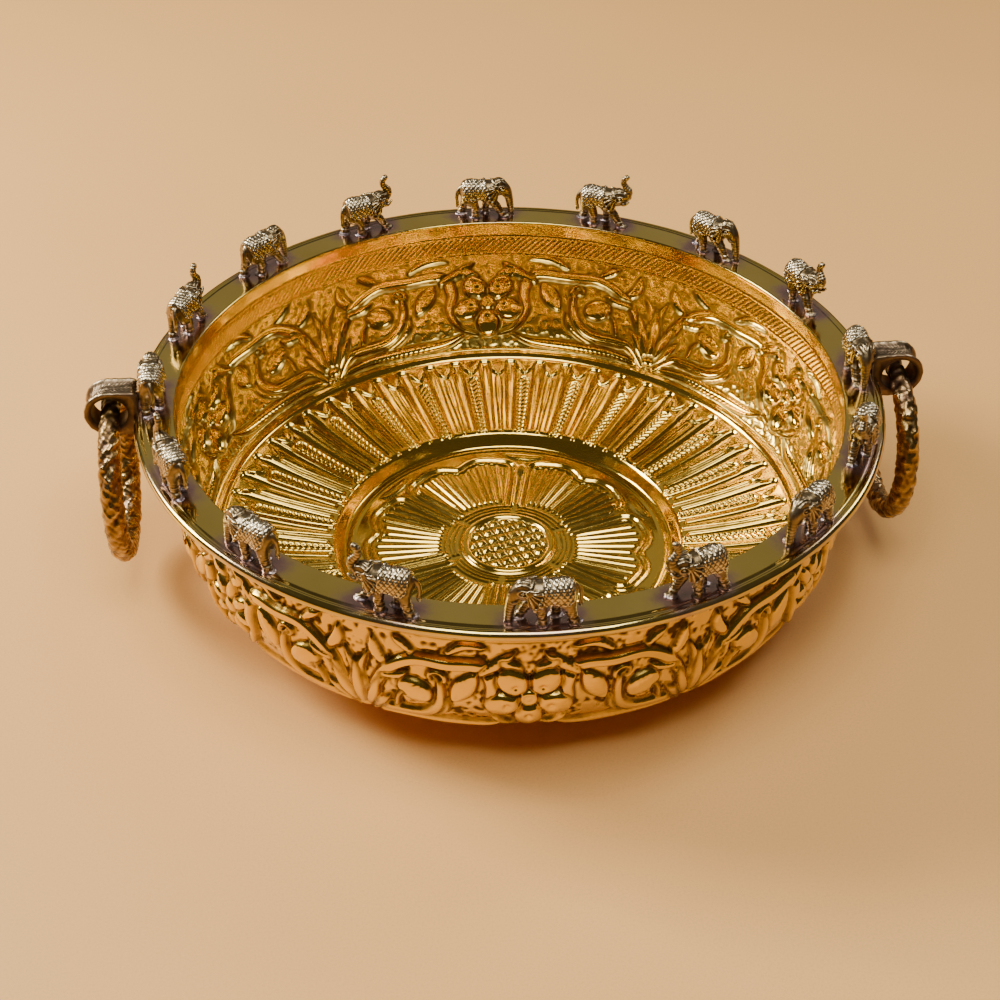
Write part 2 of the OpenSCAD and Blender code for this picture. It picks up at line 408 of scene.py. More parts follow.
CV = chase_wall()


def relief_wall(th, v):
    """+ is towards the outside. Returns height, share of plain ground and chased line."""
    x = th * XR
    hs, gr, ln = CV.sample(x, v)
    w = smooth(V_SC0 - 0.6, V_SC0 + 0.8, v) * smooth(V_SC1 + 0.6, V_SC1 - 0.8, v)
    h = hs * w
    gr, ln = gr * w, ln * w
    # slanted rope border
    bw = smooth(V_BORD0, V_BORD0 + 1.2, v) * smooth(V_BORD1, V_BORD1 - 1.2, v)
    ph = (x - 0.95 * (v - 12.5)) / 3.3
    ph = ph - np.floor(ph)
    h = h - bw * (0.85 * pillow((ph - 0.5) * 2.1) - 0.3)
    ln = np.maximum(ln, bw * np.exp(-(np.minimum(ph, 1 - ph) / 0.14) ** 2))
    for v0, a, s in ((V_BORD0 - 0.6, -0.45, 0.55), (V_BORD1 + 0.7, -0.5, 0.6)):
        h = h + a * np.exp(-((v - v0) / s) ** 2)
    # raised line at the turn of wall and floor
    d = v - V_RIDGE
    h = h - 1.2 * np.exp(-(d / 1.3) ** 2) + 0.45 * np.exp(-((d + 2.9) / 0.7) ** 2) + 0.45 * np.exp(-((d - 2.9) / 0.7) ** 2)
    ln = np.maximum(ln, 0.7 * np.exp(-((np.abs(d) - 2.9) / 0.6) ** 2))
    # hand beating: long shallow waves
    h = h + 0.10 * np.sin(th * 9 + 0.6 * np.sin(v * 0.11)) * np.sin(v * 0.09 + 1.3 * np.sin(th * 4)) + 0.05 * np.sin(th * 31 + v * 0.21)
    return h, gr, ln


NP = 28
PER = TAU / NP
PH0 = math.radians(80.4)


def relief_floor(th, v):
    r = np.interp(v, SV, SR)
    f = (th - PH0) / PER
    f = f - np.round(f)                      # -0.5 .. 0.5, leaf panel at 0, plain rib at 0.5
    x = f * PER * r
    g = np.where(f < 0, f + 0.5, f - 0.5) * PER * r
    h = np.zeros_like(x)
    ln = np.zeros_like(x)

    def capsule(dx, r0, r1, w):
        rr = np.clip(r, r0, r1)
        return np.hypot(dx, r - rr) - w

    grow = (r - 88) / 58
    # gutters with round ends, one on each side of every rib
    for c in (-0.262, 0.262):
        dx = (f - c) * PER * r
        w = 1.7 + 2.0 * grow
        d = capsule(dx, 92.5, 139.5, w)
        q = np.clip(1 + d / w, 0, 2)
        h = h + 1.25 * pillow(np.clip(q, 0, 1))
        ln = np.maximum(ln, 0.6 * np.exp(-(d / 0.4) ** 2))
    # leaf panel: raised outline, hatched inside
    w = 2.5 + 2.2 * grow
    d = capsule(x, 60, 126.5, w)
    inner = smooth(0.1, -1.2, d)
    h = h - 1.15 * np.exp(-((d + 0.1) / 0.85) ** 2)
    ph = (np.abs(x) * 0.0 + x * 0.95 + (r - 88)) / 2.9
    ph = ph - np.floor(ph)
    h = h - inner * (0.25 + 0.75 * pillow((ph - 0.5) * 2.2)) + 0.35 * inner * np.exp(-((d + 1.6) / 0.6) ** 2)
    ln = np.maximum(ln, inner * np.exp(-(np.minimum(ph, 1 - ph) / 0.13) ** 2))
    ln = np.maximum(ln, 0.8 * np.exp(-((d - 1.1) / 0.5) ** 2))
    # plain rib, slightly waisted
    w = 1.0 + 0.9 * grow + 0.5 * np.exp(-((r - 120) / 9) ** 2)
    d = capsule(g, 60, 129, w)
    h = h - 1.35 * pillow(np.clip(1 + d / w, 0, 1))
    h = h + 0.45 * np.exp(-(g / 0.55) ** 2) * smooth(104, 112, r) * smooth(131, 126, r)
    ln = np.maximum(ln, 0.8 * np.exp(-(d / 0.35) ** 2))
    # forked spear tips over panels and ribs
    for off, r0 in ((x, 132.5), (g, 131.5)):
        for s in (-1, 1):
            a = s * 0.58
            cx, cr = s * 2.7, r0 + 4.2
            u = (off - cx) * math.sin(a) + (r - cr) * math.cos(a)
            w = (off - cx) * math.cos(a) - (r - cr) * math.sin(a)
            q = np.sqrt((u / 5.2) ** 2 + (w / (1.5 * (1 - 0.75 * np.clip(u / 5.2, 0, 1)))) ** 2)
            h = h - 1.2 * pillow(np.clip(q, 0, 1))
            ln = np.maximum(ln, 0.7 * np.exp(-((q - 1) * 1.5 / 0.4) ** 2))
    fade = smooth(V_RIDGE + 3.4, V_RIDGE + 5.0, v) * smooth(V_STEP - 0.2, V_STEP - 1.6, v)
    h = h * fade
    ln = ln * fade
    d = v - V_RIDGE
    h = h - 1.2 * np.exp(-(d / 1.3) ** 2) + 0.45 * np.exp(-((d + 2.9) / 0.7) ** 2) + 0.45 * np.exp(-((d - 2.9) / 0.7) ** 2)
    h = h + 0.06 * np.sin(th * 11 + v * 0.08) * np.sin(v * 0.07 + th * 3)
    return h, np.zeros_like(h), ln


def relief_disc(th, v):
    r = np.interp(v, SV, SR)
    k = (th - math.radians(48.0)) / (TAU / 6)
    k = k - np.round(k)
    a = k * TAU / 6                          # angle from the petal's middle
    h = -1.0 * smooth(34, 78, r) * smooth(V_DISC - 3, V_DISC + 3, v)
    ln = np.zeros_like(h)
    aa = np.abs(a)
    # petal outline
    side = r * np.sin(math.radians(28.6) - aa)
    top = 72.5 - 2.6 * np.exp(-(a / 0.075) ** 2) - 1.0 * np.cos(a * 16) - r
    R = 10.0
    d = np.where((side < R) & (top < R), R - np.hypot(R - np.minimum(side, R), R - np.minimum(top, R)), np.minimum(side, top))
    on = smooth(31, 34, r)
    h = h - on * (1.0 * np.exp(-((d - 0.9) / 0.95) ** 2) + 0.85 * np.exp(-((d - 4.7) / 0.8) ** 2) - 0.5 * np.exp(-((d - 2.9) / 0.7) ** 2))
    ln = np.maximum(ln, on * np.maximum(np.exp(-((d + 0.9) / 0.5) ** 2), 0.8 * np.exp(-((d - 2.9) / 0.55) ** 2)))
    # ribs
    n = 11.0
    wd = 2 * math.radians(25.5) / n
    f = a / wd
    f = f - np.round(f)
    xr = f * wd * r
    inn = smooth(5.6, 7.2, d) * smooth(33.5, 36.5, r)
    h = h - inn * 0.95 * np.exp(-(xr / 0.85) ** 2)
    ln = np.maximum(ln, inn * 0.75 * np.exp(-((np.abs(xr) - 1.5) / 0.5) ** 2))
    # leaves between the petal tips
    b = (math.radians(30.0) - aa) * r
    q = np.sqrt((b / 10.5) ** 2 + ((r - 73.5 - 0.02 * b * b) / 2.7) ** 2)
    h = h - 1.0 * pillow(np.clip(q, 0, 1)) + 0.5 * np.exp(-((r - 73.5 - 0.02 * b * b) / 0.45) ** 2) * (q < 0.85)
    ln = np.maximum(ln, 0.8 * np.exp(-((q - 1) * 2.7 / 0.5) ** 2))
    q = np.sqrt((b / 1.9) ** 2 + ((r - 63.0) / 5.0) ** 2)
    h = h - 0.9 * pillow(np.clip(q, 0, 1))
    # fine rings round the boss
    for rr, hh in ((26.6, 0.5), (28.9, 0.55), (31.3, 0.6)):
        m = smooth(math.radians(29), math.radians(24), aa)
        h = h - hh * np.exp(-((r - rr) / 0.62) ** 2) * m
        ln = np.maximum(ln, 0.7 * m * np.exp(-((r - rr - 1.15) / 0.35) ** 2))
    # boss: rounded ring and a cut grid
    h = h - 2.0 * pillow(np.clip((r - 22.0) / 2.2, -1, 1))
    ln = np.maximum(ln, np.maximum(np.exp(-((r - 24.6) / 0.45) ** 2), np.exp(-((r - 19.7) / 0.45) ** 2)))
    t = th + math.radians(-18)
    gx, gy = r * np.cos(t) / 6.0, r * np.sin(t) / 6.0
    fx, fy = np.abs(gx - np.round(gx)), np.abs(gy - np.round(gy))
    m = np.maximum(fx, fy)
    disc = smooth(19.6, 18.8, r)
    h = h - disc * 1.35 * smooth(0.50, 0.14, m)
    ln = np.maximum(ln, disc * smooth(0.38, 0.48, m))
    # line at the foot of the step
    h = h - 0.5 * np.exp(-((r - 79.6) / 0.7) ** 2)
    ln = np.maximum(ln, 0.8 * np.exp(-((r - 81.4) / 0.5) ** 2))
    h = h * smooth(V_DISC - 1.0, V_DISC + 1.5, v)
    h = h + 0.05 * np.sin(th * 5 + r * 0.07) * smooth(4, 20, r)
    return h, np.zeros_like(h), ln


def sheet_piece(name, v0, v1, rows_in, rows_out, nu, relief, mat, out_gain, centre=False):
    """A ring of the sheet with both faces and its thickness."""
    th = np.arange(nu) * TAU / nu
    rings = []
    data = {"line": [], "ground": [], "high": [], "inside": []}

    def face(vv, outer):
        TH, V = np.meshgrid(th, vv)
        h, gr, ln = relief(TH, V)
        r = np.interp(V, SV, SR)
        z = np.interp(V, SV, SZ)
        nr = np.interp(V, SV, SNR)
        nz = np.interp(V, SV, SNZ)
        if outer:
            hh = out_gain(h, V)
            # the foot disc stays flat where the bowl stands on it
            r = r + nr * (T + hh)
            z = np.maximum(z + nz * (T + hh), 0.0)
        else:
            r = r + nr * h
            z = z + nz * h
        co = np.stack([r * np.cos(TH), r * np.sin(TH), z], -1)
        for key, val in (("line", ln), ("ground", gr), ("high", h), ("inside", np.full(h.shape, 0.0 if outer else 1.0))):
            data[key].append(val)
        return co

    vi = np.linspace(v0, v1, rows_in)
    vo = np.linspace(v1, v0, rows_out)
    a = face(vi, False)
    b = face(vo, True)
    co = np.concatenate([a, b]).reshape(-1, 3) * MM
    nv = rows_in + rows_out
    faces = grid_faces(nu, nv, wrap_v=not centre)
    edge = []
    if centre:
        # drop the quads between the two centre rows: the rows close to a point each
        i = rows_in - 1
        keep = np.ones(len(faces), bool)
        keep[i * nu:(i + 1) * nu] = False
        faces = faces[keep]
        # close the outer edge
        last = (nv - 1) * nu + np.arange(nu)
        first = np.arange(nu)
        q = np.stack([last, (nv - 1) * nu + (np.arange(nu) + 1) % nu, (np.arange(nu) + 1) % nu, first], -1)
        faces = np.concatenate([faces, q])
    for row in ([0, nv - 1] if centre else [0, rows_in - 1, rows_in, nv - 1]):
        edge.append(row * nu + np.arange(nu))
    attrs = {k: np.concatenate(v).ravel() for k, v in data.items()}
    ob = make_mesh(name, co, faces, mat, "root", attrs=attrs, sharp=np.concatenate(edge))
    return ob


# --------------------------------------------------------------- materials
class Mat:
    """Small helper to wire a node material."""

    def __init__(self, name):
        self.m = bpy.data.materials.new(name)
        self.m.use_nodes = True
        self.t = self.m.node_tree
        self.t.nodes.clear()
        self.out = self.add("ShaderNodeOutputMaterial")
        self.bsdf = self.add("ShaderNodeBsdfPrincipled")
        self.t.links.new(self.bsdf.outputs[0], self.out.inputs[0])

    def add(self, kind, **kw):
        n = self.t.nodes.new(kind)
        for k, v in kw.items():
            setattr(n, k, v)
        return n

    def link(self, a, b):
        self.t.links.new(a, b)

    def put(self, sock, v):
        if hasattr(v, "is_linked") or hasattr(v, "links"):
            self.link(v, sock)
        else:
            sock.default_value = v

    def math(self, op, a, b=None, c=None, clamp=False):
        n = self.add("ShaderNodeMath", operation=op, use_clamp=clamp)
        for i, v in enumerate((a, b, c)):
            if v is not None:
                self.put(n.inputs[i], v)
        return n.outputs[0]

    def mix(self, fac, a, b, mode="MIX"):
        n = self.add("ShaderNodeMix", data_type="RGBA", blend_type=mode)
        self.put(n.inputs[0], fac)
        self.put(n.inputs[6], a)
        self.put(n.inputs[7], b)
        return n.outputs[2]

    def ramp(self, fac, stops):
        n = self.add("ShaderNodeValToRGB")
        self.put(n.inputs[0], fac)
        el = n.color_ramp.elements
        while len(el) < len(stops):
            el.new(0.5)
        for e, (p, c) in zip(el, stops):
            e.position = p
            e.color = c if len(c) == 4 else (*c, 1)
        return n.outputs[0]

    def rng(self, v, a, b, c, d):
        n = self.add("ShaderNodeMapRange")
        n.clamp = True
        for i, x in enumerate((v, a, b, c, d)):
            self.put(n.inputs[i], x)
        return n.outputs[0]

    def attr(self, name):
        return self.add("ShaderNodeAttribute", attribute_name=name).outputs["Fac"]

    def pos(self, scale=1.0):
        g = self.add("ShaderNodeNewGeometry")
        return g

    def obj(self):
        return self.add("ShaderNodeTexCoord").outputs["Object"]

    def noise(self, vec, scale, detail=3.0, rough=0.55, dist=0.0):
        n = self.add("ShaderNodeTexNoise")
        self.put(n.inputs["Vector"], vec)
        n.inputs["Scale"].default_value = scale
        n.inputs["Detail"].default_value = detail
        n.inputs["Roughness"].default_value = rough
        n.inputs["Distortion"].default_value = dist
        return n.outputs["Fac"]

    def bump(self, height, strength, dist, normal=None):
        n = self.add("ShaderNodeBump")
        self.put(n.inputs["Height"], height)
        n.inputs["Strength"].default_value = strength
        n.inputs["Distance"].default_value = dist
        if normal is not None:
            self.link(normal, n.inputs["Normal"])
        return n.outputs[0]

    def set(self, **kw):
        names = {"color": "Base Color", "metal": "Metallic", "rough": "Roughness", "normal": "Normal",
                 "coat": "Coat Weight", "coat_rough": "Coat Roughness", "aniso": "Anisotropic", "spec": "Specular IOR Level"}
        for k, v in kw.items():
            self.put(self.bsdf.inputs[names[k]], v)
        return self.m


def stretched(M, vec, sx, sy, sz):
    n = M.add("ShaderNodeMapping")
    M.link(vec, n.inputs[0])
    n.inputs["Scale"].default_value = (sx, sy, sz)
    return n.outputs[0]


def mat_bowl():
    M = Mat("polished_brass")
    o = M.obj()
    line, ground, high, inside = M.attr("line"), M.attr("ground"), M.attr("high"), M.attr("inside")
    big = M.noise(o, 14, 3, 0.5)
    mid = M.noise(o, 90, 4, 0.6)
    fine = M.noise(o, 900, 3, 0.6)
    gold = M.mix(M.rng(big, 0.35, 0.65, 0, 1), (0.90, 0.60, 0.10, 1), (0.86, 0.55, 0.078, 1))
    gold = M.mix(M.rng(mid, 0.55, 0.75, 0, 0.18), gold, (0.78, 0.45, 0.06, 1))
    # tarnish left in the chased lines and in the matted ground
    dirt = M.math("MULTIPLY", line, M.rng(mid, 0.3, 0.65, 0.55, 1.0))
    dirt = M.math("MULTIPLY", dirt, M.rng(inside, 0, 1, 0.95, 0.90))
    pits = M.math("MULTIPLY", M.math("MULTIPLY", ground, M.rng(high, -0.05, -0.38, 0, 1)), M.rng(inside, 0, 1, 1.0, 0.6))
    dirt = M.math("MAXIMUM", dirt, pits, clamp=True)
    col = M.mix(M.math("MULTIPLY", ground, 0.15), gold, (0.66, 0.42, 0.09, 1))
    col = M.mix(dirt, col, (0.115, 0.062, 0.018, 1))
    rough = M.math("ADD", 0.085, M.math("MULTIPLY", M.rng(mid, 0.35, 0.7, 0, 1), 0.05))
    rough = M.math("ADD", rough, M.math("MULTIPLY", ground, 0.10))
    rough = M.math("ADD", rough, M.math("MULTIPLY", dirt, 0.30), clamp=True)
    b = M.bump(M.noise(o, 120, 2, 0.5), 0.06, 0.0006)
    b = M.bump(fine, 0.015, 0.0002, b)
    scr = M.noise(stretched(M, o, 300, 300, 2400), 1.0, 2, 0.6)
    b = M.bump(scr, 0.012, 0.0002, b)
    return M.set(color=col, metal=1.0, rough=rough, normal=b)


def mat_brim():
    M = Mat("plain_brass_brim")
    g = M.pos()
    sep = M.add("ShaderNodeSeparateXYZ")
    M.link(g.outputs["Position"], sep.inputs[0])
    o = M.obj()
    ang = M.math("ARCTAN2", sep.outputs[1], sep.outputs[0])
    # distance along the brim to the nearest elephant
    ph = M.math("SUBTRACT", ang, math.radians(90 + HERD_TURN))
    ph = M.math("DIVIDE", ph, TAU / 16)
    ph = M.math("SUBTRACT", ph, M.math("ROUND", ph))
    near = M.math("MULTIPLY", M.math("ABSOLUTE", ph), TAU / 16 * HERD_R * MM)
    rad = M.math("SQRT", M.math("ADD", M.math("MULTIPLY", sep.outputs[0], sep.outputs[0]), M.math("MULTIPLY", sep.outputs[1], sep.outputs[1])))
    dr = M.math("ABSOLUTE", M.math("SUBTRACT", rad, HERD_R * MM))
    wob = M.noise(o, 110, 3, 0.6)
    d = M.math("SQRT", M.math("ADD", M.math("POWER", M.math("MAXIMUM", M.math("SUBTRACT", near, 0.010), 0.0), 2.0), M.math("POWER", dr, 2.0)))
    d = M.math("ADD", d, M.math("MULTIPLY", M.math("SUBTRACT", wob, 0.5), 0.012))
    tint = M.ramp(M.rng(d, 0.0, 0.015, 0, 1), [(0.0, (0.26, 0.19, 0.20)), (0.28, (0.42, 0.24, 0.25)), (0.5, (0.52, 0.34, 0.24)), (0.72, (0.62, 0.44, 0.19)), (1.0, (0.68, 0.50, 0.14))])
    big = M.noise(o, 22, 3, 0.5)
    col = M.mix(M.rng(big, 0.35, 0.65, 0, 1), (0.72, 0.54, 0.15, 1), (0.64, 0.47, 0.12, 1))
    col = M.mix(M.rng(d, 0.006, 0.016, 0.9, 0.0), col, tint)
    mid = M.noise(o, 130, 4, 0.6)
    rough = M.math("ADD", M.rng(mid, 0.3, 0.7, 0.08, 0.14), M.rng(d, 0.002, 0.012, 0.16, 0.0))
    b = M.bump(M.noise(o, 60, 2, 0.5), 0.12, 0.0010)
    scr = M.noise(stretched(M, o, 500, 500, 500), 1.0, 3, 0.65)
    b = M.bump(scr, 0.05, 0.0002, b)
    return M.set(color=col, metal=1.0, rough=rough, normal=b)


def mat_cast():
    M = Mat("antique_cast_brass")
    o = M.obj()
    g = M.pos()
    high, sold = M.attr("high"), M.attr("solder")
    n1 = M.noise(o, 260, 4, 0.6)
    n2 = M.noise(o, 1500, 3, 0.65)
    pt = M.rng(g.outputs["Pointiness"], 0.44, 0.56, 0, 1)
    k = M.math("ADD", M.math("MULTIPLY", pt, 0.62), M.math("MULTIPLY", high, 0.38))
    k = M.math("ADD", k, M.math("MULTIPLY", M.math("SUBTRACT", n1, 0.5), 0.5), clamp=True)
    col = M.ramp(k, [(0.0, (0.030, 0.019, 0.010)), (0.30, (0.11, 0.072, 0.032)), (0.58, (0.33, 0.245, 0.135)), (0.82, (0.66, 0.56, 0.37)), (1.0, (0.84, 0.77, 0.58))])
    warm = M.noise(o, 70, 2, 0.5)
    col = M.mix(M.rng(warm, 0.45, 0.7, 0, 0.25), col, (0.40, 0.27, 0.11, 1), "MIX")
    scol = M.ramp(M.noise(o, 210, 3, 0.6), [(0.0, (0.10, 0.08, 0.11)), (0.42, (0.30, 0.24, 0.27)), (0.62, (0.50, 0.36, 0.30)), (0.8, (0.62, 0.60, 0.60)), (1.0, (0.8, 0.78, 0.75))])
    col = M.mix(sold, col, scol)
    rough = M.rng(k, 0.1, 0.9, 0.40, 0.22)
    b = M.bump(n2, 0.25, 0.0003)
    b = M.bump(n1, 0.25, 0.0006, b)
    return M.set(color=col, metal=1.0, rough=rough, normal=b)


def mat_aged(name, edge, mid_c, dark, hi, rough0=0.30):
    M = Mat(name)
    o = M.obj()
    high = M.attr("high")
    n1 = M.noise(o, 140, 4, 0.62)
    n2 = M.noise(o, 900, 3, 0.65)
    n3 = M.noise(o, 45, 2, 0.5)
    g = M.pos()
    pt = M.rng(g.outputs["Pointiness"], 0.46, 0.56, 0, 1)
    k = M.math("ADD", M.math("MULTIPLY", high, 0.60), M.math("MULTIPLY", pt, 0.25))
    k = M.math("ADD", k, M.math("MULTIPLY", M.math("SUBTRACT", n1, 0.45), 0.75), clamp=True)
    col = M.ramp(k, [(0.0, dark), (0.35, mid_c), (0.72, edge), (1.0, hi)])
    col = M.mix(M.rng(n3, 0.5, 0.72, 0, 0.35), col, (0.30, 0.17, 0.13, 1))
    rough = M.math("ADD", M.rng(k, 0.1, 0.9, rough0 + 0.14, rough0 - 0.06), M.rng(n2, 0.3, 0.7, -0.03, 0.05))
    b = M.bump(n1, 0.35, 0.0008)
    b = M.bump(n2, 0.30, 0.0003, b)
    return M.set(color=col, metal=1.0, rough=rough, normal=b)


M_BOWL = mat_bowl()
M_BRIM = mat_brim()
M_CAST = mat_cast()
M_LUG = mat_aged("aged_strap_brass", (0.40, 0.29, 0.17), (0.17, 0.115, 0.065), (0.045, 0.03, 0.02), (0.66, 0.52, 0.30), 0.34)
M_RING = mat_aged("aged_ring_brass", (0.36, 0.225, 0.07), (0.155, 0.088, 0.026), (0.04, 0.023, 0.009), (0.70, 0.52, 0.26), 0.27)


# -------------------------------------------------------------- bowl pieces
wall = sheet_piece("bowl_wall", 0.0, V_RIDGE, 184, 124, 1800, relief_wall, M_BOWL,
                   lambda h, v: h * (0.15 + 0.95 * smooth(12, 20, v)))
floor_band = sheet_piece("bowl_fluted_band", V_RIDGE, V_STEP, 116, 48, 2016, relief_floor, M_BOWL,
                         lambda h, v: h * 0.85)
disc = sheet_piece("bowl_centre_disc", V_STEP, V_END - 0.6, 132, 40, 840, relief_disc, M_BOWL,
                   lambda h, v: np.minimum(h, 0.0) * 0.55 * smooth(V_STEP, V_STEP + 3, v), centre=True)
bm = bmesh.new()
bm.from_mesh(disc.data)
open_edges = [e for e in bm.edges if e.is_boundary]
bmesh.ops.edgeloop_fill(bm, edges=open_edges)
bm.to_mesh(disc.data)
bm.free()
for piece in (wall, floor_band, disc):
    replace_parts(piece, "bowl_shell")


# --------------------------------------------------------------------- brim
def brim():
    # section, going round from the inner top edge
    pts = []
    zt = RIM_Z
    for a in np.linspace(math.pi, math.pi / 2, 7):
        pts.append((WALL_R + 0.7 + 0.7 * math.cos(a), zt - 0.7 + 0.7 * math.sin(a)))
    for r in np.linspace(WALL_R + 1.6, RIM_R - BEAD - 3.1, 16):
        pts.append((r, zt))
    # shallow groove, then the rounded bead
    pts += [(RIM_R - BEAD - 2.5, zt - 0.12), (RIM_R - BEAD - 2.0, zt - 0.30), (RIM_R - BEAD - 1.5, zt - 0.28)]
    for a in np.linspace(math.radians(118), math.radians(-90), 22):
        pts.append((RIM_R - BEAD + BEAD * math.cos(a), zt - BEAD + BEAD * math.sin(a)))
    for a in np.linspace(math.radians(-90), math.radians(-150), 6)[1:]:
        pts.append((RIM_R - BEAD + BEAD * math.cos(a), zt - BEAD + BEAD * math.sin(a)))
    zb = zt - BRIM_T
    pts += [(r, zb) for r in np.linspace(RIM_R - 2 * BEAD - 0.2, WALL_R + 1.2, 10)]
    for a in np.linspace(-math.pi / 2, -math.pi, 5):
        pts.append((WALL_R + 0.5 + 0.5 * math.cos(a), zb + 0.5 + 0.5 * math.sin(a)))
    p = np.array(pts)
    nu = 1080
    th = np.arange(nu) * TAU / nu
    wav = 0.10 * np.sin(7 * th + 1) + 0.06 * np.sin(17 * th + 2.2) + 0.03 * np.sin(41 * th)
    wav2 = 0.05 * np.sin(11 * th) + 0.04 * np.sin(29 * th + 0.5)
    R, Z, co = p[:, 0][:, None], p[:, 1][:, None], None
    lift = smooth(WALL_R + 0.5, WALL_R + 9, R) * (R < RIM_R + 1)
    r = R - np.abs(wav2)[None, :] * smooth(RIM_R - 6, RIM_R, R)
    z = np.minimum(Z + 0.55 * wav[None, :] * lift - 0.06, RIM_Z)
    co = np.stack([r * np.cos(th), r * np.sin(th), z + 0 * r], -1).reshape(-1, 3) * MM
    # rows go inner edge -> top -> bead -> underside: keep the faces turned outwards
    f = grid_faces(nu, len(p), wrap_v=True, flip=True)
    return make_mesh("brim_ring_visual", co, f, M_BRIM, "root")


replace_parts(brim(), "brim_ring")


# -------------------------------------------------------------------- rings
def ring(name, sign, body, node, seed):
    nu, nv = 420, 60
    u = np.arange(nu) * TAU / nu               # round the ring, 0 at the top
    w = np.arange(nv) * TAU / nv
    U, W = np.meshgrid(u, w, indexing="ij")
    top = np.exp(-(np.minimum(U, TAU - U) / 0.42) ** 2)
    # four strands laid in a long twist, each scored across
    turns = 9
    ph = 4 * W + turns * 4 * U * 0.5 * sign
    lobe = np.abs(np.cos(ph / 2))
    strand = np.sqrt(np.clip(lobe, 0, 1))
    cross = np.sin(46 * U - 3.0 * W * sign) * np.sin(23 * U + 5 * W)
    rng = np.random.default_rng(seed)
    ham = sum(a * np.sin(k * U + m * W + p) for k, m, a, p in
              zip(rng.integers(3, 60, 14), rng.integers(-5, 6, 14), rng.uniform(0.03, 0.12, 14), rng.uniform(0, 6.28, 14)))
    rb = RING_BAR - 0.62 * (1 - strand) * (1 - 0.55 * top) + 0.22 * cross * (1 - 0.7 * top) + ham - 0.15
    rb = rb * (1 - 0.17 * top)
    rb = np.minimum(rb, RING_BAR + 0.25)
    rb = np.where(top > 0.3, np.minimum(rb, RING_BAR * 0.93), rb)
    high = np.clip((rb - 4.3) / 1.3, 0, 1)
    rr = RING_R + rb * np.cos(W)
    y = rr * np.sin(U)
    z = RING_Z - RING_R + rr * np.cos(U)
    x = LUG_X + rb * np.sin(W)
    co = np.stack([x, y, z], -1).reshape(-1, 3)
    if sign < 0:
        co[:, :2] *= -1
    i = np.arange(nu)[:, None]
    j = np.arange(nv)[None, :]
    f = np.stack([i * nv + j, ((i + 1) % nu) * nv + j, ((i + 1) % nu) * nv + (j + 1) % nv, i * nv + (j + 1) % nv], -1).reshape(-1, 4)
    ob = make_mesh(name, co * MM, f, M_RING, body, attrs={"high": high.ravel()})
    fix_normals(ob)
    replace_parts(ob, node)


def fix_normals(ob):
    bm = bmesh.new()
    bm.from_mesh(ob.data)
    bmesh.ops.recalc_face_normals(bm, faces=bm.faces)
    bm.to_mesh(ob.data)
    bm.free()


ring("ring_right_bar", 1, "ring_right", "ring_right", 3)
ring("ring_left_bar", -1, "ring_left", "ring_left", 5)


